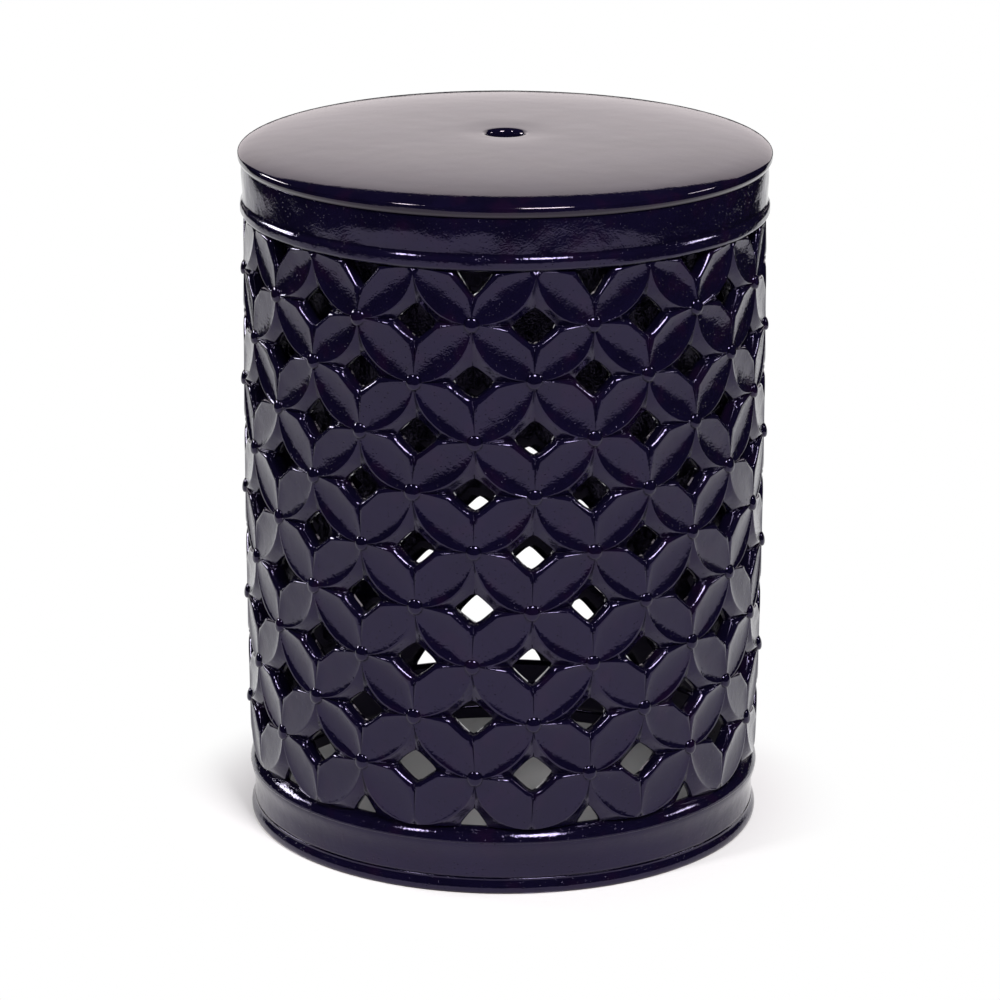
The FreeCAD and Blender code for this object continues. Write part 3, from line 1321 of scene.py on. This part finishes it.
@dataclass(frozen=True)
class Viewpoint:
    """The photograph's viewpoint, in metres and radians."""

    distance: float = 2.808
    azimuth: float = 0.1127
    elevation: float = 0.2976
    aim_height: float = 0.2101
    roll: float = 0.0030
    lens: float = 153.87
    shift: float = -0.0041

    def back(self) -> Vector:
        """Unit vector from the stool to the camera.

        Returns:
            The vector.
        """
        level = math.cos(self.elevation)
        sideways, forward = level * math.sin(self.azimuth), -level * math.cos(self.azimuth)
        return Vector((sideways, forward, math.sin(self.elevation)))

    def build(self) -> None:
        """Makes the camera and sets it as the scene's."""
        data = bpy.data.cameras.new("camera")
        data.lens = self.lens
        data.shift_x = self.shift
        data.clip_end = 50
        camera = bpy.data.objects.new("camera", data)
        back = self.back()
        right = Vector((0, 0, 1)).cross(back).normalized()
        turned = Matrix((right, back.cross(right), back)).transposed()
        turned = turned @ Matrix.Rotation(self.roll, 3, "Z")
        place = Vector((0, 0, self.aim_height)) + back * self.distance
        camera.matrix_world = Matrix.Translation(place) @ turned.to_4x4()
        bpy.context.scene.collection.objects.link(camera)
        bpy.context.scene.camera = camera


@dataclass(frozen=True)
class Softbox:
    """A soft lamp that faces the stool. Angles are in degrees, azimuth from the camera's side."""

    name: str
    azimuth: float
    elevation: float
    distance: float
    width: float
    height: float
    radiance: float
    colour: tuple[float, float, float] = (1.0, 1.0, 1.0)


@dataclass(frozen=True)
class Studio:
    """White sheet, dark room round it and soft lamps, set out from the viewpoint."""

    viewpoint: Viewpoint
    softboxes: tuple[Softbox, ...] = (
        Softbox("key_box", 20, 47, 2.3, 0.62, 0.60, 34.0),
        Softbox("side_box", -49, 46, 2.3, 0.24, 0.42, 38.0),
        Softbox("left_window", -115, 20, 2.6, 0.9, 0.34, 22.0),
        Softbox("right_window", 94, 28, 2.6, 0.6, 0.22, 22.0),
        Softbox("back_box", 180, 22, 2.8, 3.6, 1.9, 1.0, (0.96, 0.88, 0.89)),
    )
    aim_height: float = 0.25
    sheet_front: float = 1.6
    sheet_back: float = 4.2
    sheet_left: float = 1.4
    sheet_right: float = 1.1
    paper: tuple[float, float, float] = (0.87, 0.845, 0.855)
    near_floor: float = 0.155
    far_floor: float = 0.235
    least_white: float = 0.05
    room_radius: float = 7.0
    room_turns: int = 48
    room_rings: int = 25
    cloth: tuple[float, float, float] = (0.02, 0.02, 0.022)
    fill: float = 0.2

    def _direction(self, azimuth: float, elevation: float) -> Vector:
        """Unit vector at an azimuth from the camera's side and an elevation, in degrees."""
        a, e = math.radians(azimuth) + self.viewpoint.azimuth, math.radians(elevation)
        return Vector((math.sin(a) * math.cos(e), -math.cos(a) * math.cos(e), math.sin(e)))

    def _lamp(self, box: Softbox) -> None:
        """Makes one softbox. Its power is radiance times area times four.

        Args:
            box: Its place, size and light.
        """
        data = bpy.data.lights.new(box.name, "AREA")
        data.shape = "RECTANGLE"
        data.size, data.size_y = box.width, box.height
        data.color = box.colour
        data.energy = box.radiance * box.width * box.height * 4
        lamp = bpy.data.objects.new(box.name, data)
        away = self._direction(box.azimuth, box.elevation)
        lamp.rotation_mode = "QUATERNION"
        lamp.rotation_quaternion = away.to_track_quat("Z", "Y")
        lamp.location = Vector((0, 0, self.aim_height)) + away * box.distance
        lamp.visible_camera = False
        bpy.context.scene.collection.objects.link(lamp)

    @staticmethod
    def _seen(tree: bpy.types.NodeTree) -> bpy.types.NodeSocket:
        """1 for camera, glossy and transmission rays, which see the white of the studio.

        Args:
            tree: The nodes that it joins.

        Returns:
            The value's socket.
        """
        path = tree.nodes.new("ShaderNodeLightPath").outputs
        total = path["Is Camera Ray"]
        for name in ("Is Glossy Ray", "Is Transmission Ray"):
            either = tree.nodes.new("ShaderNodeMath")
            either.operation = "MAXIMUM"
            tree.links.new(total, either.inputs[0])
            tree.links.new(path[name], either.inputs[1])
            total = either.outputs[0]
        return total

    def _sheet_material(self) -> bpy.types.Material:
        """White paper that takes the stool's shadow near the foot and is plain white further off.

        Returns:
            The new material.
        """
        material = bpy.data.materials.new("white_sheet")
        material.use_nodes = True
        tree = material.node_tree
        tree.nodes.clear()
        paper = tree.nodes.new("ShaderNodeBsdfDiffuse")
        paper.inputs["Color"].default_value = (*self.paper, 1)
        white = tree.nodes.new("ShaderNodeEmission")
        place = tree.nodes.new("ShaderNodeTexCoord").outputs["Object"]
        length = tree.nodes.new("ShaderNodeVectorMath")
        length.operation = "LENGTH"
        tree.links.new(place, length.inputs[0])
        fade = tree.nodes.new("ShaderNodeMapRange")
        fade.interpolation_type = "SMOOTHSTEP"
        fade.inputs["From Min"].default_value = self.near_floor
        fade.inputs["From Max"].default_value = self.far_floor
        fade.inputs["To Min"].default_value = self.least_white
        tree.links.new(length.outputs["Value"], fade.inputs["Value"])
        both = tree.nodes.new("ShaderNodeMath")
        both.operation = "MULTIPLY"
        tree.links.new(fade.outputs["Result"], both.inputs[0])
        tree.links.new(self._seen(tree), both.inputs[1])
        mix = tree.nodes.new("ShaderNodeMixShader")
        tree.links.new(both.outputs[0], mix.inputs[0])
        tree.links.new(paper.outputs[0], mix.inputs[1])
        tree.links.new(white.outputs[0], mix.inputs[2])
        out = tree.nodes.new("ShaderNodeOutputMaterial")
        tree.links.new(mix.outputs[0], out.inputs["Surface"])
        return material

    def _sheet(self) -> None:
        """Makes the sheet, which ends in front of the stool and runs on far behind it."""
        left, right = -self.sheet_left, self.sheet_right
        corners = np.array([
            (left, -self.sheet_front, 0), (right, -self.sheet_front, 0),
            (right, self.sheet_back, 0), (left, self.sheet_back, 0),
        ])
        turn = self.viewpoint.azimuth
        cos, sin = math.cos(turn), math.sin(turn)
        spin = np.array([(cos, sin, 0), (-sin, cos, 0), (0, 0, 1)])
        mesh = bpy.data.meshes.new("sheet")
        mesh.from_pydata((corners @ spin).tolist(), [], [(0, 1, 2, 3)])
        mesh.materials.append(self._sheet_material())
        sheet = bpy.data.objects.new("sheet", mesh)
        bpy.context.scene.collection.objects.link(sheet)

    def _room(self) -> None:
        """Makes the dark room that the glaze reflects beyond the sheet. Only reflections see it."""
        turns, rings = self.room_turns, self.room_rings
        angle = np.arange(turns) * 2 * math.pi / turns
        rise = np.linspace(-math.pi / 2, math.pi / 2, rings)[:, None]
        points = np.stack(np.broadcast_arrays(
            np.cos(rise) * np.cos(angle), np.cos(rise) * np.sin(angle), np.sin(rise)
        ), axis=-1) * self.room_radius
        index = np.arange(rings * turns).reshape(rings, turns)
        beside = np.roll(index, -1, axis=1)
        faces = np.stack([index[:-1], index[1:], beside[1:], beside[:-1]], axis=-1).reshape(-1, 4)
        mesh = bpy.data.meshes.new("dark_room")
        mesh.from_pydata(points.reshape(-1, 3).tolist(), [], faces.tolist())
        material = bpy.data.materials.new("dark_cloth")
        material.use_nodes = True
        shader = material.node_tree.nodes["Principled BSDF"]
        shader.inputs["Base Color"].default_value = (*self.cloth, 1)
        shader.inputs["Roughness"].default_value = 1
        mesh.materials.append(material)
        room = bpy.data.objects.new("dark_room", mesh)
        room.visible_camera = room.visible_diffuse = room.visible_shadow = False
        room.visible_transmission = False
        bpy.context.scene.collection.objects.link(room)

    def _world(self) -> None:
        """White where it is seen, and a dim fill for the rest."""
        world = bpy.data.worlds.new("studio")
        bpy.context.scene.world = world
        world.use_nodes = True
        tree = world.node_tree
        background = tree.nodes["Background"]
        background.inputs["Color"].default_value = (1, 1, 1, 1)
        level = tree.nodes.new("ShaderNodeMapRange")
        level.inputs["To Min"].default_value = self.fill
        level.inputs["To Max"].default_value = 1.0
        tree.links.new(self._seen(tree), level.inputs["Value"])
        tree.links.new(level.outputs["Result"], background.inputs["Strength"])

    def build(self) -> None:
        """Sets up the whole studio."""
        self._sheet()
        self._room()
        self._world()
        for box in self.softboxes:
            self._lamp(box)
        bpy.context.scene.view_settings.view_transform = "Standard"


def main() -> None:
    """Builds the stool from the foot up, then the studio."""
    logging.basicConfig(level=logging.INFO, format="%(message)s")
    sizes = StoolFrame.read()
    dresser = Dresser()
    for kind in (FootRing, BaseBand, Collar, SeatSlab):
        kind(sizes).build(dresser)
    plan = LatticePlan(sizes)
    Lattice(plan).build(dresser)
    for row in range(1, plan.rows):
        BeadRow(plan, row).build(dresser)
    viewpoint = Viewpoint()
    viewpoint.build()
    Studio(viewpoint).build()


if __name__ == "__main__":
    main()
